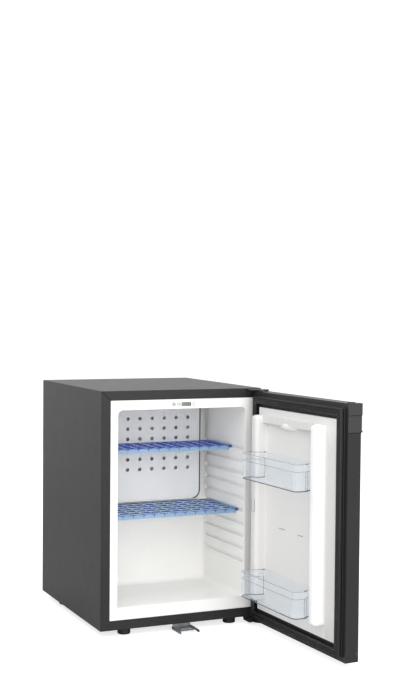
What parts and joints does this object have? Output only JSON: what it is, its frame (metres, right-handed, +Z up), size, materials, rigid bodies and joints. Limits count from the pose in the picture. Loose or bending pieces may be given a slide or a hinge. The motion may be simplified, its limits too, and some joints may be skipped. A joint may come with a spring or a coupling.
{
  "type": "minibar fridge",
  "caption": "Compact minibar fridge with a hinged lockable door, clear bins on the door, sliding blue shelf grids, a perforated baffle and an absorption cooling unit.",
  "frame": {"origin": "floor level, under the middle of the cabinet's front face", "axes": "+Z up, +X to the right as seen from the front, +Y from the front to the back"},
  "size_m": [0.4256, 0.8644, 0.561],
  "materials": {
    "charcoal_paint": "satin",
    "galvanised": "satin",
    "foam": "matte",
    "white_moulding": "satin",
    "white_sheet": "satin",
    "steel": "satin",
    "aluminium": "satin",
    "black_tube": "satin",
    "black_plastic": "matte",
    "display": "gloss",
    "lamp": "gloss",
    "grey_key": "matte",
    "board": "matte",
    "black_rubber": "matte",
    "grey_rubber": "matte",
    "blue_plastic": "gloss",
    "clear_plastic": "gloss",
    "dark_plastic": "matte",
    "chrome": "polished"
  },
  "bodies": {
    "cabinet": {"cabinet_wrapper": "charcoal_paint", "base_pan": "charcoal_paint", "upper_hinge_bracket": "charcoal_paint", "lower_hinge_bracket": "charcoal_paint", "rear_panel": "galvanised", "vessel_cradle": "galvanised", "boiler_bracket": "galvanised", "boiler_jacket": "galvanised", "cabinet_foam": "foam", "evaporator_plug": "foam", "cabinet_liner": "white_moulding", "baffle_plate": "white_sheet", "baffle_screws": "steel", "hinge_screws": "steel", "strike_screws": "steel", "lock_strike": "steel", "upper_hinge_pin": "steel", "lower_hinge_pin": "steel", "heater_cartridge": "steel", "evaporator_fins": "aluminium", "condenser_fins": "aluminium", "evaporator_tube": "black_tube", "condenser_tube": "black_tube", "boiler_tube": "black_tube", "absorber_vessel": "black_tube", "absorber_coil": "black_tube", "controller_box": "black_plastic", "power_inlet": "black_plastic", "display_window": "display", "lamp_lens": "lamp", "control_fascia": "grey_key", "control_board": "board", "front_left_foot": "black_rubber", "front_right_foot": "black_rubber", "rear_left_foot": "black_rubber", "rear_right_foot": "black_rubber"},
    "door": {"door_skin": "charcoal_paint", "door_foam": "foam", "door_liner": "white_moulding", "door_gasket": "grey_rubber", "gasket_magnets": "grey_rubber", "door_corner_cap": "dark_plastic", "hinge_hole_plug": "black_plastic", "upper_door_bush": "white_moulding", "lower_door_bush": "white_moulding", "lock_housing": "black_plastic"},
    "lock": {"lock_barrel": "chrome", "lock_cam": "steel"},
    "upper_shelf": {"upper_shelf": "blue_plastic"},
    "lower_shelf": {"lower_shelf": "blue_plastic"},
    "upper_bin": {"upper_bin": "clear_plastic"},
    "lower_bin": {"lower_bin": "clear_plastic"},
    "left_key": {"left_key": "grey_key"},
    "right_key": {"right_key": "grey_key"}
  },
  "joints": [
    {"name": "door_hinge", "type": "hinge", "parent": "cabinet", "child": "door", "pos_m": [0.19, -0.0265, 0.2835], "axis": [0, 0, 1], "range_deg": [-92, 38]},
    {"name": "lock_turn", "type": "hinge", "parent": "door", "child": "lock", "pos_m": [0.19663, -0.21638, 0.034], "axis": [-0.9994, -0.0349, 0], "range_deg": [0, 90]},
    {"name": "upper_shelf_slide", "type": "slide", "parent": "cabinet", "child": "upper_shelf", "axis": [0, -1, 0], "range_m": [0, 0.074]},
    {"name": "lower_shelf_slide", "type": "slide", "parent": "cabinet", "child": "lower_shelf", "axis": [0, -1, 0], "range_m": [0, 0.035]},
    {"name": "upper_bin_lift", "type": "slide", "parent": "door", "child": "upper_bin", "axis": [0, 0, 1], "range_m": [0, 0.03]},
    {"name": "lower_bin_lift", "type": "slide", "parent": "door", "child": "lower_bin", "axis": [0, 0, 1], "range_m": [0, 0.03]},
    {"name": "left_key_press", "type": "slide", "parent": "cabinet", "child": "left_key", "axis": [0, 1, 0], "range_m": [0, 0.0008], "stiffness_N_per_m": 300, "springref_m": -0.001},
    {"name": "right_key_press", "type": "slide", "parent": "cabinet", "child": "right_key", "axis": [0, 1, 0], "range_m": [0, 0.0008], "stiffness_N_per_m": 300, "springref_m": -0.001}
  ]
}
